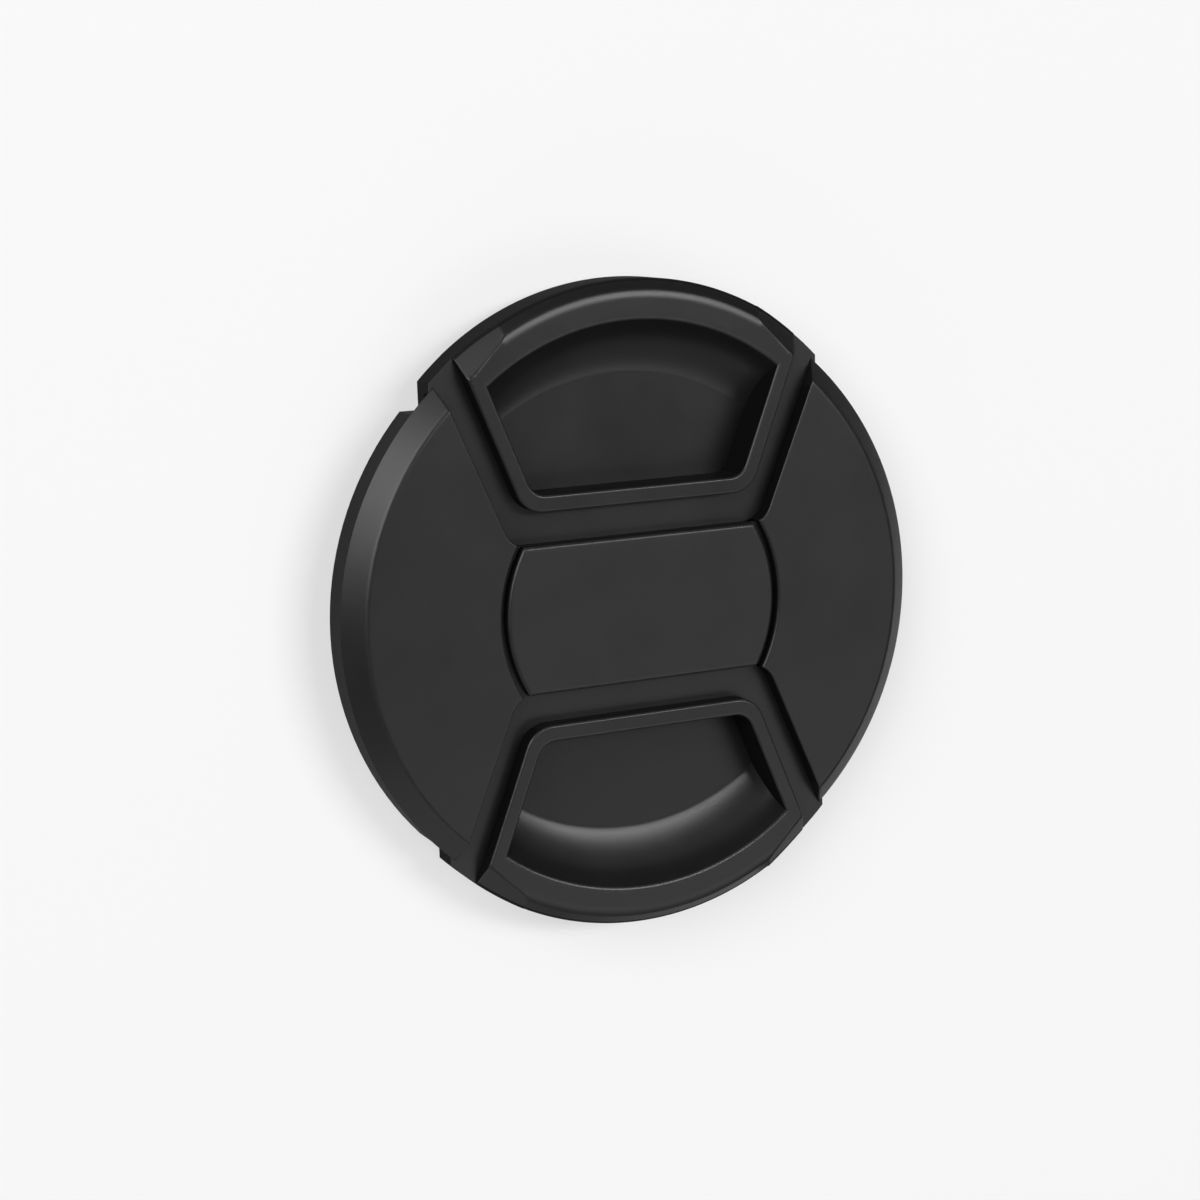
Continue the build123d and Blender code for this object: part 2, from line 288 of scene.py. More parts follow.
carrier = {
    "neckX": 15.4, "innerY": 6.4, "tabY": 9.2, "rimInner": 23.5, "earStart": 17.4, "lipCorner": 2.4,
    "rimInset": 0.6, "sideInset": 0.3, "lipGap": 0.2, "shoulder": 0.4, "earInset": 0.005, "earDrop": 0.004,
    "springX": 18.0, "tabWidth": 3.2, "tabThickness": 1.3, "tabDrop": 0.3, "bevel": 0.12, "bevelSteps": 2,
    "edgePoints": 12, "earPoints": 16,
}


# Points on a circle round the middle of the latch's outer arc, at even steps across X
def arcPoints(radius, fromX, toX, count):
    x = np.linspace(fromX, toX, count)
    return np.column_stack([x, latch["offset"] + np.sqrt(radius * radius - x * x)])


# Flange that runs under the wings, ears at both ends of the rim, tabs for the springs: upright blocks
def carrierBlocks():
    g, c = latch, carrier
    w = g["halfWidth"]
    flangeR = g["radius"] - c["rimInset"]
    # the flange is open over the pocket, so its edge runs back along the middle of the lip
    ring = pocketRings(0.5 * (g["mouthX"] + g["lipX"]), 0.5 * (g["mouthY"] + g["lipY"]), c["lipCorner"],
                       g["offset"] + flangeR, flangeR)[0]
    lipSide = ring[1:np.argmax(onArc)]
    edge = arcPoints(flangeR, w - c["sideInset"], lipSide[-1, 0] + c["lipGap"], c["edgePoints"])
    neck = [(c["neckX"], c["innerY"]), (c["neckX"], c["tabY"]),
            (w, c["tabY"]), (w, edge[0, 1] - c["shoulder"])]
    right = np.vstack([neck, edge, lipSide[::-1]])
    flange = np.vstack([right, ring[:1], (right * flip)[::-1]])
    ear = np.vstack([arcPoints(g["radius"] - c["earInset"], w, c["earStart"], c["earPoints"]),
                     arcPoints(c["rimInner"], c["earStart"], w, c["earPoints"])])
    half, near, far = c["tabWidth"] / 2, c["tabY"], c["tabY"] + c["tabThickness"]
    tab = np.array([(-half, near), (half, near), (half, far), (-half, far)]) + np.array([c["springX"], 0])
    blocks = [(flange, g["flangeLow"], g["flangeTop"])]
    for outline, drop in ((ear, c["earDrop"]), (tab, c["tabDrop"])):
        for shape in (outline, (outline * flip)[::-1]):
            blocks.append((shape, g["rearZ"], g["flangeTop"] - drop))
    points, quads, caps, count = [], [], [], 0
    for shape, low, high in blocks:
        blockPoints, blockQuads, blockCaps = prism(shape, low, high, count)
        points.append(blockPoints)
        quads.append(blockQuads)
        caps += blockCaps
        count += len(blockPoints)
    return np.vstack(points), np.vstack(quads), caps


jaw = {
    "centreY": 0.6, "crest": 28.9, "root": 28.44, "inner": 27.1, "low": 0.2, "top": 2.75, "halfAngle": 27.0,
    "pitch": 0.75, "ridges": 3, "ridgeGrow": 1.05, "ridgeFlat": 0.94, "ridgeSteps": 12, "columns": 90,
}


# Jaw: ridged profile swept round the lens axis; a ridge rises and falls evenly over one pitch,
# from the root to a flattened crest
def jawSheet():
    j = jaw
    z = j["low"] + j["pitch"] * np.linspace(0, j["ridges"], j["ridgeSteps"] * j["ridges"] + 1)
    phase = (z - j["low"]) / j["pitch"]
    wave = np.abs(2 * (phase - np.floor(phase + 0.5)))
    r = j["root"] + (j["crest"] - j["root"]) * np.minimum(j["ridgeGrow"] * wave, j["ridgeFlat"])
    back = [(j["root"], j["top"]), (j["inner"], j["top"]), (j["inner"], j["low"])]
    profile = np.vstack([np.column_stack([r, z]), back])
    a = np.radians(90 + j["halfAngle"] * np.linspace(-1, 1, j["columns"]))[:, None]
    rings = np.dstack([profile[None, :, 0] * np.cos(a), j["centreY"] + profile[None, :, 0] * np.sin(a),
                       profile[None, :, 1] + 0 * a])
    n = len(profile)
    caps = [np.arange(n).tolist(), (len(rings) * n - 1 - np.arange(n)).tolist()]
    return rings.reshape(-1, 3), tubeQuads(len(rings), n), caps


zones = {}


# One latch in three pieces; a sign of -1 turns it half round the lens axis
def buildLatch(side, sign):
    spin = np.array([sign, sign, 1.0])
    rings, start, end, wearAndHighlight, zone = latchBodyRings()
    points, quads, fans = ringSkin(rings, start, end)
    body = makeMesh(side + "LatchBody", points * spin, quads, fans, np.pad(wearAndHighlight.ravel(), 1))
    points, quads, caps = carrierBlocks()
    base = makeMesh(side + "LatchCarrier", points * spin, quads, caps)
    soften = base.modifiers.new("edges", "BEVEL")
    soften.width, soften.segments = carrier["bevel"] * mm, carrier["bevelSteps"]
    soften.limit_method = "ANGLE"
    points, quads, caps = jawSheet()
    grip = makeMesh(side + "LatchJaw", points * spin, quads, caps)
    for piece in (body, base, grip):
        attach(piece, side + "_latch")
    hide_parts(side + "_latch")
    zones[body.name] = zone
    return body, base, grip


latchPieces = buildLatch("upper", 1.0) + buildLatch("lower", -1.0)
print("latches built:", sum(len(p.data.polygons) for p in latchPieces), "faces")


# endPitch is the pitch of the closed end turns in thicknesses of the wire
spring = {
    "x": 18.0, "z": 4.0, "start": 1.25, "length": 7.9, "radius": 1.12, "wire": 0.17,
    "turns": 7.0, "endTurns": 1.0, "endPitch": 1.05, "steps": 420, "sides": 12,
}


# Round wire on a coil: a circle swept along a helix whose pitch is close at both ends and open between
def springSheet():
    g = spring
    turn = np.linspace(0, g["turns"], g["steps"])
    closed = 2 * g["wire"] * g["endPitch"]
    openLength = g["length"] - 2 * g["wire"] - 2 * closed * g["endTurns"]
    openPitch = openLength / (g["turns"] - 2 * g["endTurns"])
    pitch = np.where((turn < g["endTurns"]) | (turn > g["turns"] - g["endTurns"]), closed, openPitch)
    along = np.concatenate([[0], np.cumsum(0.5 * (pitch[1:] + pitch[:-1]) * np.diff(turn))])
    along *= (g["length"] - 2 * g["wire"]) / along[-1]
    angle = 2 * math.pi * turn
    out = np.column_stack([np.cos(angle), 0 * angle, np.sin(angle)])
    centre = g["radius"] * out + np.column_stack([0 * angle, g["start"] + g["wire"] + along, 0 * angle])
    path = np.gradient(centre, axis=0)
    path /= np.linalg.norm(path, axis=1)[:, None]
    third = np.cross(path, out)
    b = np.linspace(0, 2 * math.pi, g["sides"], endpoint=False)[None, :, None]
    return centre[:, None] + g["wire"] * (np.cos(b) * out[:, None] + np.sin(b) * third[:, None])


# One spring, set at its place and turned with its latch
def buildSpring(side, end, sign, place):
    rings = springSheet()
    rows, n, _ = rings.shape
    caps = [np.arange(n)[::-1].tolist(), ((rows - 1) * n + np.arange(n)).tolist()]
    centre = np.array([place * spring["x"], 0, spring["z"]])
    points = rings.reshape(-1, 3) * np.array([1.0, sign, sign]) + centre
    coil = makeMesh(side + end.capitalize() + "Spring", points, tubeQuads(rows, n)[:, ::-1], caps)
    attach(coil, "shell")
    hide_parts(side + "_" + end + "_spring")
    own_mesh(coil)
    return coil


springs = [buildSpring(side, end, sign, place) for side, sign in (("upper", 1.0), ("lower", -1.0))
           for end, place in (("left", -1.0), ("right", 1.0))]
print("springs built")


shell = {
    "frontZ": 7.4, "plateZ": 5.7, "capR": 30.0, "faceR": 27.95, "grooveR": 14.7, "under": 5.66,
    "bridgeX": 14.9, "bridgeY": 7.13, "bridgeLow": 5.67, "bridgeGap": 0.002,
    "edgeX": 16.64, "edgeSlope": 0.42, "edgeEnd": 26.0, "station": 15.0, "corner": 2.4,
    "edgeRound": 0.16, "grooveRound": 0.26, "faceRound": 0.2, "wearHighlightWidth": 0.3,
    "flatFrom": 0.5, "slopeFrom": 0.45, "edgeSpread": 1.1,
    "cutAbove": 0.01, "mergeWithin": 1e-6, "sharpFrom": 30.0,
    "cornerSteps": 40, "sideSteps": 200, "flatRows": 36, "slopeRows": 9, "columns": 60,
}
# rows close to an edge, and on both sides of the fold where the face meets the sloped edge
nearEdge = np.array([0, 0.006, 0.025, 0.055, 0.095, 0.145, 0.2, 0.26, 0.34])
nearFold = np.array([-0.3, -0.2, -0.12, -0.06, 0, 0.06, 0.12, 0.2, 0.3])


# Window edge of a wing: end of the bridge, round corner, then the tapered side, as points from inside out
def windowEdge():
    g = shell
    m, norm = g["edgeSlope"], math.hypot(1, g["edgeSlope"])
    bend = math.pi / 2 - math.atan(m)
    cornerX = g["edgeX"] + m * (g["bridgeY"] - g["station"])
    reach = g["corner"] * math.tan(bend / 2)
    centre = np.array([cornerX - reach, g["bridgeY"] + g["corner"]])
    turn = -math.pi / 2 + bend * np.linspace(0, 1, g["cornerSteps"])
    arc = centre + g["corner"] * np.column_stack([np.cos(turn), np.sin(turn)])
    y = np.linspace(arc[-1, 1], g["edgeEnd"], g["sideSteps"])[1:]
    side = np.column_stack([g["edgeX"] + m * (y - g["station"]), y])
    return np.vstack([arc, side]), centre, arc[-1], np.array([m, 1]) / norm


# Front of one wing in rings round the axis: each ring runs between the two windows, and its height is the
# flat face, the sloped edge beyond faceR, and a quarter round along the windows and the groove
def wingSheet():
    g = shell
    edge, centre, tangent, along = windowEdge()
    flat = np.linspace(g["grooveR"] + g["flatFrom"], g["faceR"] - g["flatFrom"], g["flatRows"])
    slant = np.linspace(g["faceR"] + g["slopeFrom"], g["capR"], g["slopeRows"])
    r = np.concatenate([g["grooveR"] + nearEdge, flat, g["faceR"] + nearFold, slant])
    reach = np.interp(r, np.hypot(*edge.T), np.arctan2(edge[:, 1], edge[:, 0]))[:, None]
    r = r[:, None]
    gap = g["edgeSpread"] * nearEdge[None] / r
    rest = (reach - g["flatFrom"] / r) * np.linspace(-1, 1, g["columns"])[None]
    a = np.hstack([-reach + gap, rest, (reach - gap)[:, ::-1]])
    x, y = r * np.cos(a), r * np.sin(a)
    p = np.stack([x, np.abs(y)], axis=-1) - tangent
    lineGap = p @ np.array([along[1], -along[0]])
    cornerGap = np.hypot(x - centre[0], np.abs(y) - centre[1]) - g["corner"]
    edgeGap = np.where(p @ along > 0, lineGap, cornerGap)
    grooveGap = r - g["grooveR"]
    slope = (g["frontZ"] - g["plateZ"]) / (g["capR"] - g["faceR"])
    z = softMin(np.full_like(x, g["frontZ"]), g["frontZ"] - (r - g["faceR"]) * slope, g["faceRound"])
    for size, distance in ((g["edgeRound"], edgeGap), (g["grooveRound"], grooveGap)):
        near = np.clip(1 - distance / size, 0, 1)
        z = z - size * (1 - np.sqrt(1 - near * near))
    # mark for wear and a painted highlight near the windows, the groove and the fold of the face
    nearest = np.minimum(np.minimum(edgeGap, grooveGap), np.abs(r - g["faceR"]))
    wearAndHighlight = np.clip(1 - nearest / g["wearHighlightWidth"], 0, 1)
    return np.dstack([x, y, np.maximum(z, g["plateZ"])]), wearAndHighlight


# Solid between a sheet and a flat underside, closed round its border
def slab(top, low):
    rows, columns, _ = top.shape
    n = rows * columns
    base = top.copy()
    base[..., 2] = low
    i = np.arange(n).reshape(rows, columns)
    cells = np.stack([i[:-1, :-1], i[1:, :-1], i[1:, 1:], i[:-1, 1:]], axis=-1).reshape(-1, 4)
    loop = np.concatenate([i[0, :-1], i[:-1, -1], i[-1, :0:-1], i[:0:-1, 0]])
    walls = np.stack([loop, np.roll(loop, -1), np.roll(loop, -1) + n, loop + n], axis=-1)
    return np.vstack([top.reshape(-1, 3), base.reshape(-1, 3)]), np.vstack([cells, cells[:, ::-1] + n, walls])


plate = {
    "radius": 14.1, "halfHeight": 7.13, "top": 7.4, "low": 6.45, "round": 0.34,
    "flatInset": 0.6, "innerShare": 0.5, "arcPoints": 40, "edgePoints": 50, "roundRows": 9,
}


# Plate outline drawn in by a given amount: two arcs and two straight edges
def plateRing(inset):
    inset = np.atleast_1d(inset).astype(float)[:, None]
    r, h = plate["radius"] - inset, plate["halfHeight"] - inset
    a = np.arcsin(h / r) * np.linspace(-1, 1, plate["arcPoints"])[None]
    right = np.stack([r * np.cos(a), r * np.sin(a)], axis=-1)
    x = right[:, -1:, 0] * np.linspace(1, -1, plate["edgePoints"])[None, 1:-1]
    top = np.stack([x, h + 0 * x], axis=-1)
    return np.concatenate([right, top, -right, -top], axis=1)


# Plate from the middle of its top outwards: flat, a quarter round whose wear and painted highlight peak half
# way, and the foot
def plateRings():
    p = plate
    turn = np.linspace(0, math.pi / 2, p["roundRows"])
    flat = raised(plateRing(p["flatInset"]), p["top"])
    inner = flat * np.array([p["innerShare"], p["innerShare"], 1.0])
    edge = plateRing(p["round"] * (1 - np.sin(turn)))
    edge = raised(edge, (p["top"] - p["round"] * (1 - np.cos(turn)))[:, None])
    foot = raised(plateRing(0.0), p["low"])
    rings = np.concatenate([inner, flat, edge, foot], axis=0)
    wearAndHighlight = np.repeat(np.concatenate([[0, 0], np.sin(2 * turn), [0]])[:, None], rings.shape[1], axis=1)
    return rings, np.array([0, 0, p["top"]]), np.array([0, 0, p["low"]]), wearAndHighlight


# the rest of the shell is a copy of the solid, less the front that the wings and the bridge stand for
rearMesh = nodes["front_shell"].data.copy()
work = bmesh.new()
work.from_mesh(rearMesh)
bmesh.ops.remove_doubles(work, verts=work.verts, dist=shell["mergeWithin"])
front = [f for f in work.faces if f.calc_center_median().z > (shell["plateZ"] + shell["cutAbove"]) * mm]
bmesh.ops.delete(work, geom=front, context="FACES")
for face in bmesh.ops.holes_fill(work, edges=[e for e in work.edges if e.is_boundary], sides=0)["faces"]:
    face.normal_update()
    if face.normal.z < 0:
        face.normal_flip()
work.to_mesh(rearMesh)
work.free()
# normals stored with the solid no longer fit the cut copy
if "custom_normal" in rearMesh.attributes:
    rearMesh.attributes.remove(rearMesh.attributes["custom_normal"])
rearMesh.shade_smooth()
rearMesh.set_sharp_from_angle(angle=math.radians(shell["sharpFrom"]))
shellRear = bpy.data.objects.new("shellRear", rearMesh)
scene.collection.objects.link(shellRear)

wing, wearAndHighlight = wingSheet()
points, quads = slab(wing, shell["under"])
wearAndHighlight = np.pad(wearAndHighlight.ravel(), (0, wearAndHighlight.size))
rightWing = makeMesh("rightWing", points, quads, wearAndHighlight=wearAndHighlight)
leftWing = makeMesh("leftWing", points * np.array([-1.0, -1.0, 1.0]), quads, wearAndHighlight=wearAndHighlight)
across = np.array([(-1, -1), (1, -1), (1, 1), (-1, 1)]) * np.array([shell["bridgeX"], shell["bridgeY"]])
points, quads, caps = prism(across, shell["bridgeLow"], plate["low"] - shell["bridgeGap"])
bridge = makeMesh("bridge", points, quads, caps)
rings, start, end, wearAndHighlight = plateRings()
points, quads, fans = ringSkin(rings, start, end)
centrePlate = makeMesh("centrePlate", points, quads, fans, np.pad(wearAndHighlight.ravel(), 1))
shellPieces = (shellRear, rightWing, leftWing, bridge)
for piece in shellPieces:
    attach(piece, "shell")
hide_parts("front_shell")
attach(centrePlate, "shell")
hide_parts("centre_plate")
print("shell and centre plate built")


# Feeds a socket from another one, or sets it to a number
def feed(tree, socket, value):
    if isinstance(value, bpy.types.NodeSocket):
        tree.links.new(value, socket)
    else:
        socket.default_value = value


# Math node on two sockets or numbers
def reckon(tree, operation, first, second):
    node = tree.nodes.new("ShaderNodeMath")
    node.operation = operation
    feed(tree, node.inputs[0], first)
    feed(tree, node.inputs[1], second)
    return node.outputs[0]


# Spreads a value over a range, from 0 to 1 or from limits of its own
def spread(tree, value, low, high, fromLow=0.0, fromHigh=1.0):
    node = tree.nodes.new("ShaderNodeMapRange")
    for name, source in (("Value", value), ("From Min", fromLow), ("From Max", fromHigh),
                         ("To Min", low), ("To Max", high)):
        feed(tree, node.inputs[name], source)
    return node.outputs["Result"]


# Noise on Object coordinates
def noise(tree, scale, detail):
    place, node = tree.nodes.new("ShaderNodeTexCoord"), tree.nodes.new("ShaderNodeTexNoise")
    feed(tree, node.inputs["Vector"], place.outputs["Object"])
    feed(tree, node.inputs["Scale"], scale)
    feed(tree, node.inputs["Detail"], detail)
    return node.outputs["Fac"]


# Empty shader group with numbers going in, and its two ends
def newGroup(name, inputs, outputs):
    group = bpy.data.node_groups.new(name, "ShaderNodeTree")
    for label, value in inputs.items():
        group.interface.new_socket(label, in_out="INPUT", socket_type="NodeSocketFloat").default_value = value
    for label, kind in outputs.items():
        group.interface.new_socket(label, in_out="OUTPUT", socket_type=kind)
    return group, group.nodes.new("NodeGroupInput").outputs, group.nodes.new("NodeGroupOutput").inputs


grainLook = {"fineDetail": 3.0, "cloudDetail": 4.0, "toneSwing": 0.2, "glossSwing": 0.04}


# Moulded grain: fine bumps, and a little cloudiness in tone and gloss.
# Color = Base times the cloud, Roughness = Gloss plus the cloud, Height = fine noise times Depth
def buildGrainGroup():
    group, ask, give = newGroup(
        "mouldedGrain", {"Size": 9000.0, "Cloud": 160.0, "Depth": 0.3, "Base": 0.015, "Gloss": 0.45},
        {"Color": "NodeSocketColor", "Roughness": "NodeSocketFloat", "Height": "NodeSocketFloat"})
    fine = noise(group, ask["Size"], grainLook["fineDetail"])
    cloud = noise(group, ask["Cloud"], grainLook["cloudDetail"])
    tone = spread(group, cloud, 1 - grainLook["toneSwing"], 1 + grainLook["toneSwing"])
    shade = reckon(group, "MULTIPLY", tone, ask["Base"])
    grey = group.nodes.new("ShaderNodeCombineColor")
    for k in range(3):
        feed(group, grey.inputs[k], shade)
    feed(group, give["Color"], grey.outputs["Color"])
    sheen = spread(group, cloud, -grainLook["glossSwing"], grainLook["glossSwing"])
    feed(group, give["Roughness"], reckon(group, "ADD", sheen, ask["Gloss"]))
    feed(group, give["Height"], reckon(group, "MULTIPLY", fine, ask["Depth"]))
    return group


wearHighlightLook = {"detail": 3.0, "patchFrom": 0.3, "patchTo": 0.7, "least": 0.35}


# Rubbed edges with a painted highlight: Mask = the wear mark of a piece, times patchy noise between least and
# 1, times Amount
def buildWearHighlightGroup():
    group, ask, give = newGroup("rubbedEdgesAndHighlights", {"Amount": 0.6, "Scale": 900.0}, {"Mask": "NodeSocketFloat"})
    mark = group.nodes.new("ShaderNodeAttribute")
    mark.attribute_name = "wearAndHighlight"
    patch = noise(group, ask["Scale"], wearHighlightLook["detail"])
    patch = spread(group, patch, wearHighlightLook["least"], 1.0, wearHighlightLook["patchFrom"], wearHighlightLook["patchTo"])
    mask = reckon(group, "MULTIPLY", mark.outputs["Fac"], patch)
    feed(group, give["Mask"], reckon(group, "MULTIPLY", mask, ask["Amount"]))
    return group


grainGroup = buildGrainGroup()
wearHighlightGroup = buildWearHighlightGroup()

# base is the dye, darker as painted shade in the recess, skirt, floor and flange copies, rough the finish of
# the mould, level the strength of the gloss, grain and depth the size and height of the bumps, wear how far
# edges are rubbed and given a painted highlight
finish = {
    "shellPlastic": {"base": 0.012, "rough": 0.34, "level": 0.34, "grain": 9000, "depth": 0.4, "wearAndHighlight": 0.4},
    "platePlastic": {"base": 0.012, "rough": 0.35, "level": 0.36, "grain": 8000, "depth": 0.4, "wearAndHighlight": 0.5},
    "latchPlastic": {"base": 0.012, "rough": 0.31, "level": 0.34, "grain": 9500, "depth": 0.35, "wearAndHighlight": 0.5},
    # darker copies of the plastic that paint shade on recess walls, outer walls, pocket floors and the trench
    # flange; the flange copy has stronger gloss
    "recessPaintedShade": {"base": 0.005, "rough": 0.75, "level": 0.06, "grain": 7000, "depth": 0.5},
    "pocketFloorPaintedShade": {"base": 0.009, "rough": 0.31, "level": 0.33, "grain": 9500, "depth": 0.35},
    "flangePaintedShade": {"base": 0.009, "rough": 0.31, "level": 0.40, "grain": 9500, "depth": 0.35},
    "skirtPaintedShade": {"base": 0.008, "rough": 0.65, "level": 0.08, "grain": 7000, "depth": 0.5},
    "coverPlastic": {"base": 0.012, "rough": 0.45, "level": 0.34, "grain": 6000, "depth": 0.6},
    "springSteel": {"base": 0.35, "rough": 0.3, "level": 0.5, "grain": 12000, "depth": 0.2, "metal": 1.0},
}
# lighter, glossier tone on the marked edges: rubbed wear and a painted highlight
edgeWearHighlight = {"tone": 0.03, "rough": 0.29}
bumps = {"Distance": 0.00002, "Strength": 0.6}


# One finish: the grain's tone and gloss, changed to the lighter rubbed ones where the edges are worn and
# carry a painted highlight, and its bumps
def moulded(name):
    f = finish[name]
    mat = bpy.data.materials.new(name)
    mat.use_nodes = True
    tree = mat.node_tree
    shader = tree.nodes["Principled BSDF"].inputs
    shader["Specular IOR Level"].default_value = f["level"]
    shader["Metallic"].default_value = f.get("metal", 0.0)
    grain, wearAndHighlight = tree.nodes.new("ShaderNodeGroup"), tree.nodes.new("ShaderNodeGroup")
    grain.node_tree, wearAndHighlight.node_tree = grainGroup, wearHighlightGroup
    for label, key in (("Base", "base"), ("Gloss", "rough"), ("Size", "grain"), ("Depth", "depth")):
        grain.inputs[label].default_value = f[key]
    wearAndHighlight.inputs["Amount"].default_value = f.get("wearAndHighlight", 0.0)
    wornHighlitMask = wearAndHighlight.outputs["Mask"]
    tone, bump = tree.nodes.new("ShaderNodeMix"), tree.nodes.new("ShaderNodeBump")
    tone.data_type = "RGBA"
    feed(tree, tone.inputs["Factor"], wornHighlitMask)
    feed(tree, tone.inputs["A"], grain.outputs["Color"])
    feed(tree, tone.inputs["B"], (edgeWearHighlight["tone"],) * 3 + (1.0,))
    feed(tree, shader["Base Color"], tone.outputs["Result"])
    feed(tree, shader["Roughness"], spread(tree, wornHighlitMask, grain.outputs["Roughness"], edgeWearHighlight["rough"]))
    for label, value in bumps.items():
        feed(tree, bump.inputs[label], value)
    feed(tree, bump.inputs["Height"], grain.outputs["Height"])
    feed(tree, shader["Normal"], bump.outputs["Normal"])
    return mat


coat = {name: moulded(name) for name in finish}
# a face is a wall where its normal is within upright of level, and runs across where it points along Y
walls = {"upright": 0.3, "across": 0.9, "rimReach": 27.4 * mm}


# Walls get darker, less glossy copies of the plastic as painted shade: skirt where they run across or lie
# beyond openReach, and black recess in the narrow side gaps. A piece's own zones come before these.
def dress(piece, name, openReach=walls["rimReach"]):
    mesh = piece.data
    mesh.materials.clear()
    for finishName in (name, "recessPaintedShade", "skirtPaintedShade", "pocketFloorPaintedShade"):
        mesh.materials.append(coat[finishName])
    normals, centres = np.empty((2, 3 * len(mesh.polygons)))
    mesh.polygons.foreach_get("normal", normals)
    mesh.polygons.foreach_get("center", centres)
    normals, centres = normals.reshape(-1, 3), centres.reshape(-1, 3)
    reach = np.hypot(centres[:, 0], centres[:, 1])
    across = (np.abs(normals[:, 1]) > walls["across"]) & (reach < walls["rimReach"])
    wall = np.where(across | (reach > openReach), finishSlot["skirt"], finishSlot["recess"])
    index = np.where(np.abs(normals[:, 2]) < walls["upright"], wall, finishSlot["own"])
    zone = zones.get(piece.name, index[:0])
    index[:len(zone)] = np.where(zone == finishSlot["bySlope"], index[:len(zone)], zone)
    mesh.polygons.foreach_set("material_index", index.astype(np.int32))


for node, name in (("front_shell", "shellPlastic"), ("centre_plate", "platePlastic"),
                   ("upper_latch", "latchPlastic"), ("lower_latch", "latchPlastic"),
                   ("back_plate", "coverPlastic")):
    nodes[node].data.materials.clear()
    nodes[node].data.materials.append(coat[name])
for piece in latchPieces:
    # the carriers take the flange copy, darker as painted shade in the trench
    dress(piece, "flangePaintedShade" if piece.name.endswith("Carrier") else "latchPlastic", openReach=1.0)
for piece in shellPieces[1:]:
    dress(piece, "shellPlastic")
dress(shellRear, "shellPlastic", openReach=0.0)
dress(centrePlate, "platePlastic")
for piece in springs:
    piece.data.materials.append(coat["springSteel"])
print("plastic and steel assigned")


stage = {"floorSize": 3.0, "floorTone": 0.82, "floorRough": 0.9, "worldLevel": 0.12, "whiteShare": 0.5}

floorMesh = bpy.data.meshes.new("floor")
h = stage["floorSize"]
floorMesh.from_pydata([(-h, -h, 0), (h, -h, 0), (h, h, 0), (-h, h, 0)], [], [(0, 1, 2, 3)])
floor = bpy.data.objects.new("floor", floorMesh)
scene.collection.objects.link(floor)

# pale floor that is partly white by itself, to the camera and in reflections, and keeps the shadow
floorMat = bpy.data.materials.new("paleFloor")
floorMat.use_nodes = True
floorTree = floorMat.node_tree
floorShader = floorTree.nodes["Principled BSDF"]
floorShader.inputs["Base Color"].default_value = (stage["floorTone"],) * 3 + (1.0,)
floorShader.inputs["Roughness"].default_value = stage["floorRough"]
rays = floorTree.nodes.new("ShaderNodeLightPath").outputs
seen = reckon(floorTree, "MAXIMUM", rays["Is Camera Ray"], rays["Is Glossy Ray"])
seen = reckon(floorTree, "MAXIMUM", seen, rays["Is Transmission Ray"])
glow, mix = floorTree.nodes.new("ShaderNodeEmission"), floorTree.nodes.new("ShaderNodeMixShader")
feed(floorTree, mix.inputs[0], reckon(floorTree, "MULTIPLY", seen, stage["whiteShare"]))
feed(floorTree, mix.inputs[1], floorShader.outputs[0])
feed(floorTree, mix.inputs[2], glow.outputs[0])
feed(floorTree, floorTree.nodes["Material Output"].inputs["Surface"], mix.outputs[0])
floorMesh.materials.append(floorMat)

world = bpy.data.worlds.new("studio")
scene.world = world
world.use_nodes = True
sky = world.node_tree.nodes["Background"]
sky.inputs["Color"].default_value = (1, 1, 1, 1)
sky.inputs["Strength"].default_value = stage["worldLevel"]


lamps = {
    "keyBox": {"toward": (0.40, 0.25, 0.88), "far": 1.5, "wide": 0.9, "high": 0.30, "watts": 11.1},
    "sideBox": {"toward": (-0.66, 0.40, 0.63), "far": 1.5, "wide": 0.8, "high": 1.0, "watts": 15.5},
    "lowBox": {"toward": (-0.40, -0.87, 0.29), "far": 1.2, "wide": 0.9, "high": 0.5, "watts": 0.9},
    "frontBox": {"toward": (0.0, -0.86, 0.51), "far": 1.2, "wide": 1.6, "high": 0.5, "watts": 0.5},
    "faceBox": {"toward": (0.42, -0.45, 0.788), "far": 1.3, "wide": 0.9, "high": 0.55, "watts": 2.1},
    "topBox": {"toward": (0.3, 0.74, 0.6), "far": 1.4, "wide": 1.4, "high": 0.7, "watts": 0.6},
}


# Area lamp that looks back along its direction, long side level with X
def softBox(name, toward, far, wide, high, watts):
    lamp = bpy.data.lights.new(name, "AREA")
    lamp.shape = "RECTANGLE"
    lamp.size, lamp.size_y, lamp.energy = wide, high, watts
    obj = bpy.data.objects.new(name, lamp)
    scene.collection.objects.link(obj)
    back = Vector(toward).normalized()
    level = (Vector((1, 0, 0)) - back * back.x).normalized()
    axes = Matrix((level, back.cross(level), back)).transposed()
    obj.matrix_world = Matrix.Translation(back * far) @ axes.to_4x4()


for name, lamp in lamps.items():
    softBox(name, **lamp)

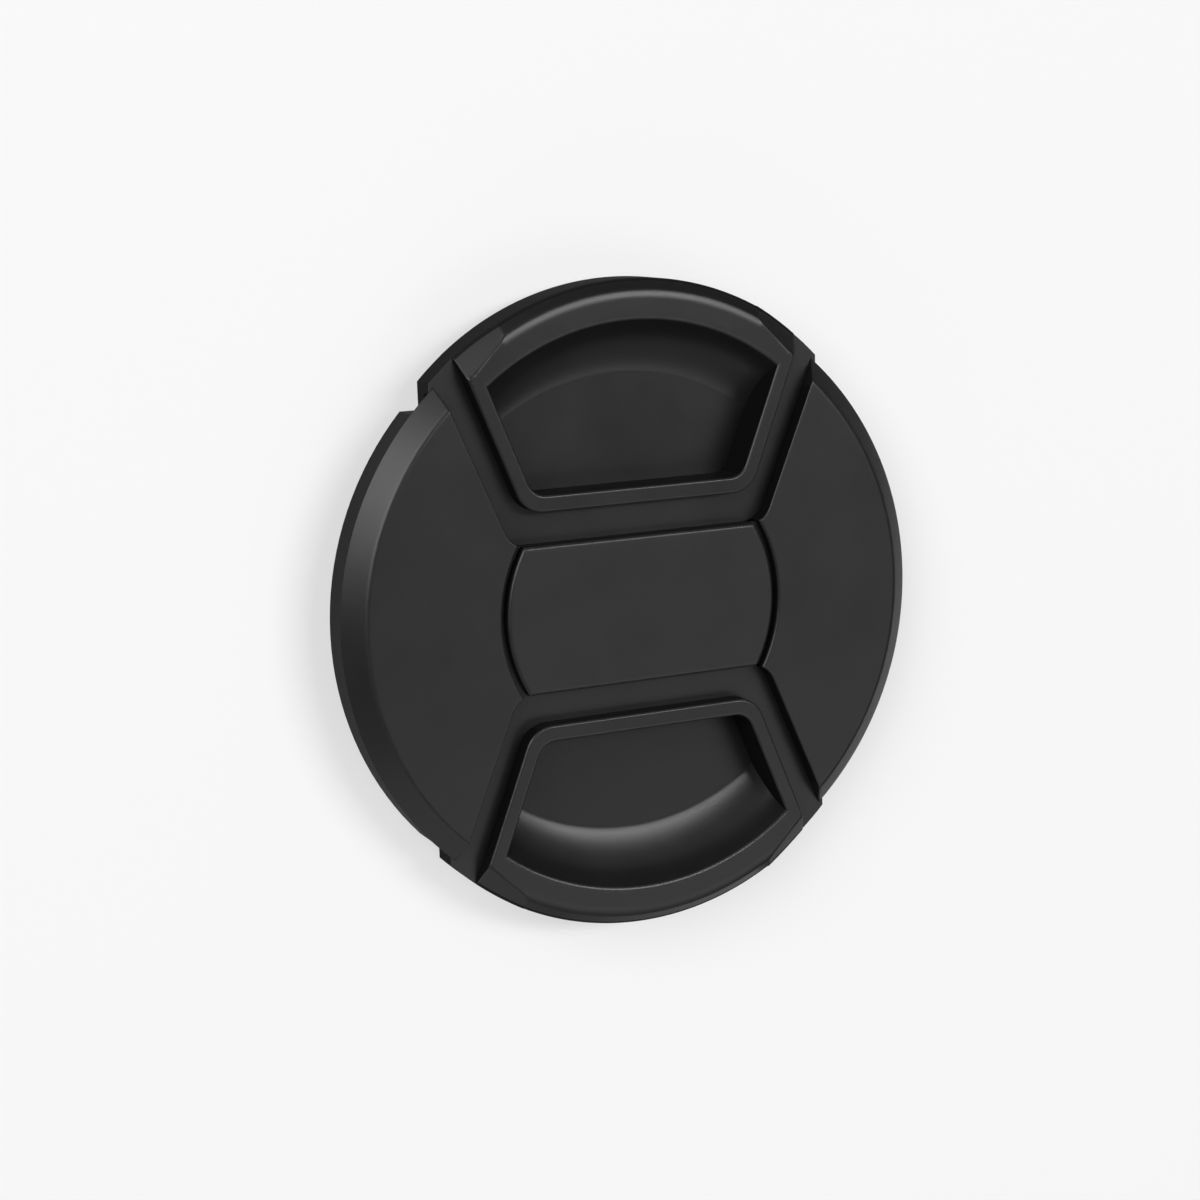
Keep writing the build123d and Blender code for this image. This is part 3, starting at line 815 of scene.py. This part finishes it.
# dark card, curved round the right of the cap and highest at crownAt, that only shows in reflections
card = {
    "radius": 0.046, "height": 0.014, "from": -60.0, "to": 125.0, "crown": 0.016, "crownAt": 65.0,
    "columns": 40, "tone": 0.01,
}
turn = np.radians(np.linspace(card["from"], card["to"], card["columns"]))
crown = np.clip(np.cos(2 * (turn - math.radians(card["crownAt"]))), 0, None)
foot = np.column_stack([card["radius"] * np.cos(turn), card["radius"] * np.sin(turn), 0 * turn])
top = foot + np.column_stack([0 * turn, 0 * turn, card["height"] + card["crown"] * crown])
k = np.arange(card["columns"] - 1) * 2
cardQuads = np.stack([k, k + 1, k + 3, k + 2], axis=-1)
cardMesh = bpy.data.meshes.new("darkCard")
cardMesh.from_pydata(np.stack([foot, top], axis=1).reshape(-1, 3).tolist(), [], cardQuads.tolist())
darkCard = bpy.data.objects.new("darkCard", cardMesh)
scene.collection.objects.link(darkCard)
darkCard.visible_camera = darkCard.visible_shadow = darkCard.visible_diffuse = False
cardMat = bpy.data.materials.new("blackCard")
cardMat.use_nodes = True
cardShader = cardMat.node_tree.nodes["Principled BSDF"]
cardShader.inputs["Base Color"].default_value = (card["tone"],) * 3 + (1.0,)
cardShader.inputs["Specular IOR Level"].default_value = 0.0
cardMesh.materials.append(cardMat)

view = {
    "eye": (-0.096328, 0.043679, 0.210536),
    "right": (0.90828, -0.03336, 0.41703),
    "up": (0.10770, 0.98186, -0.15603),
    "back": (-0.40426, 0.18663, 0.89540),
    "lens": 71.5536, "sensor": 36.0, "nearest": 0.01, "farthest": 20.0,
}
camera = bpy.data.cameras.new("photoCamera")
camera.lens, camera.sensor_width = view["lens"], view["sensor"]
camera.clip_start, camera.clip_end = view["nearest"], view["farthest"]
cameraObj = bpy.data.objects.new("photoCamera", camera)
scene.collection.objects.link(cameraObj)
cameraAxes = Matrix((view["right"], view["up"], view["back"])).transposed()
cameraObj.matrix_world = Matrix.Translation(view["eye"]) @ cameraAxes.to_4x4()
scene.camera = cameraObj
scene.view_settings.view_transform = "Standard"
print("stage set")
